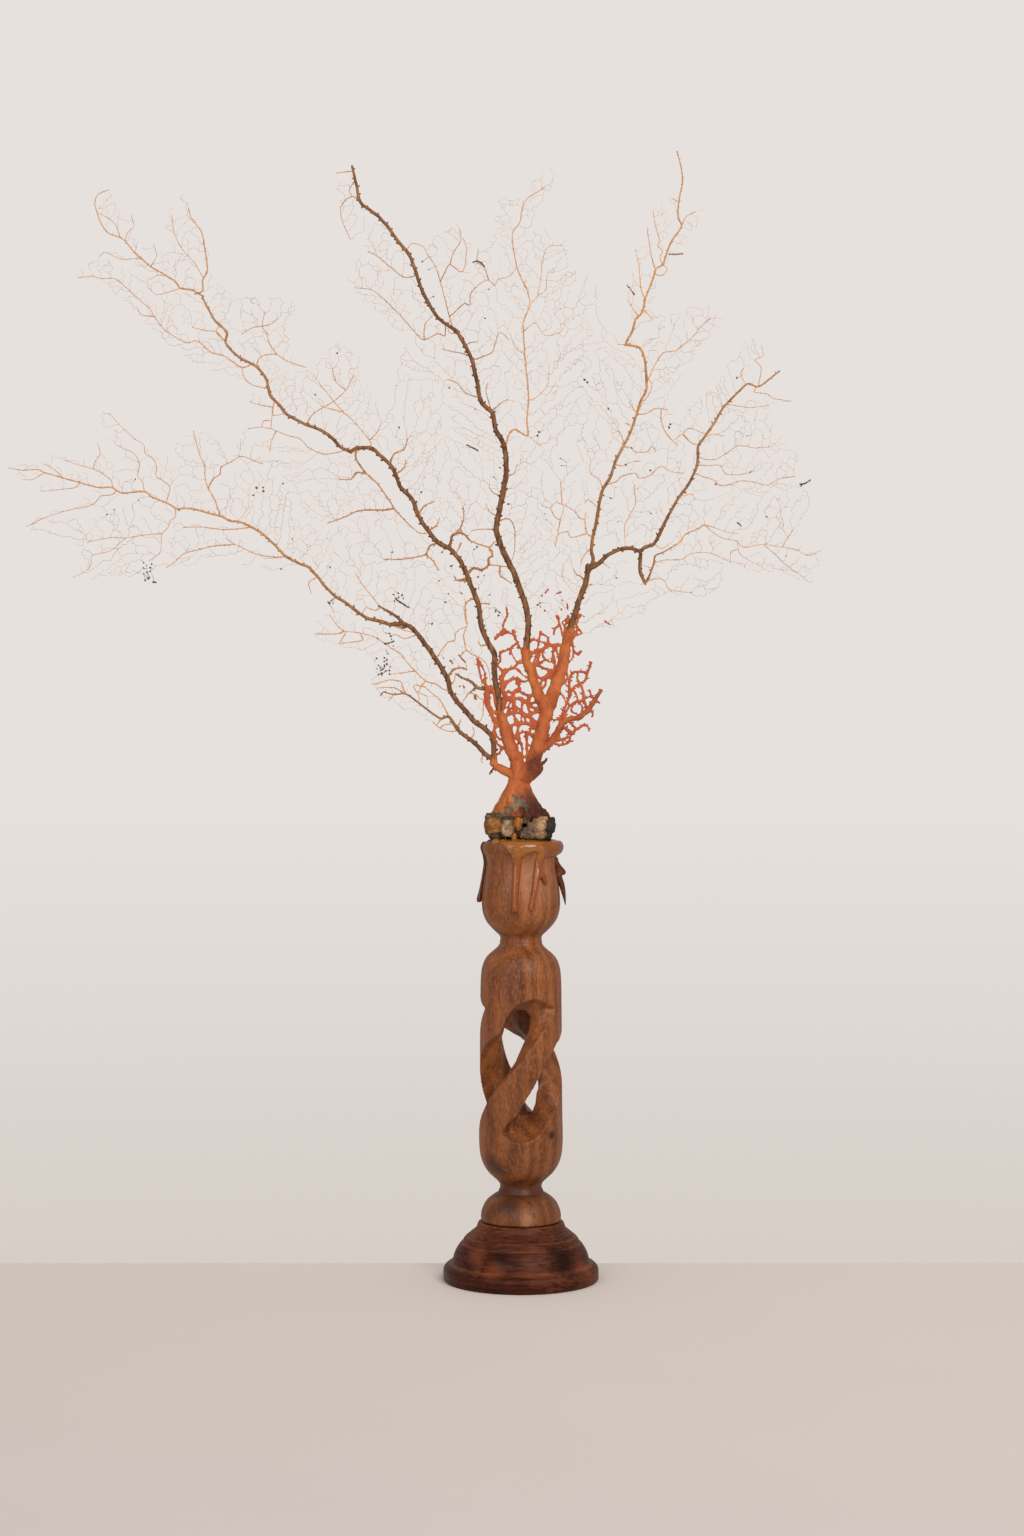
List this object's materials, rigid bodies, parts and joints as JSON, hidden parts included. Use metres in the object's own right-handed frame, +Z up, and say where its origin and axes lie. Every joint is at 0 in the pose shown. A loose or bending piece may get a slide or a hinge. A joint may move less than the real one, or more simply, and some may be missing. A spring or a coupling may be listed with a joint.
{
  "type": "sea fan on a wooden holder",
  "caption": "Dried sea fan with a flat spray of fine branches, set in amber resin and small stones in the cup of a turned wooden holder with an open-twist column.",
  "frame": {"origin": "centre of the plinth's flat underside, on the surface the object stands on", "axes": "+Z up along the turned holder, -Y toward the viewer of the fan's broad face, +X to that viewer's right"},
  "size_m": [0.5571, 0.106, 0.7717],
  "materials": {
    "plinth_wood": "dark red-brown stained and varnished",
    "column_wood": "reddish-brown stained, satin",
    "amber_resin": "clear amber, glossy",
    "stone": "rough, mottled",
    "coral_crust": "matt, granular",
    "horny_axis": "dark brown, thorny, low sheen",
    "tan_twigs": "pale tan, matt"
  },
  "bodies": {
    "root": {"plinth": "plinth_wood", "column": "column_wood", "resin": "amber_resin", "rock": "stone", "trunk": "coral_crust", "right_low_spray": "coral_crust", "left_low_spray": "horny_axis", "far_left_branch": "horny_axis", "far_left_tip": "tan_twigs", "left_branch": "horny_axis", "left_upper_branch": "horny_axis", "left_end_spray": "tan_twigs", "middle_branch": "horny_axis", "middle_upper_branch": "horny_axis", "middle_side_branch": "tan_twigs", "right_branch": "horny_axis", "right_upper_branch": "tan_twigs", "right_upper_tip": "tan_twigs", "right_arch_branch": "horny_axis", "hook_branch": "tan_twigs"}
  },
  "joints": []
}
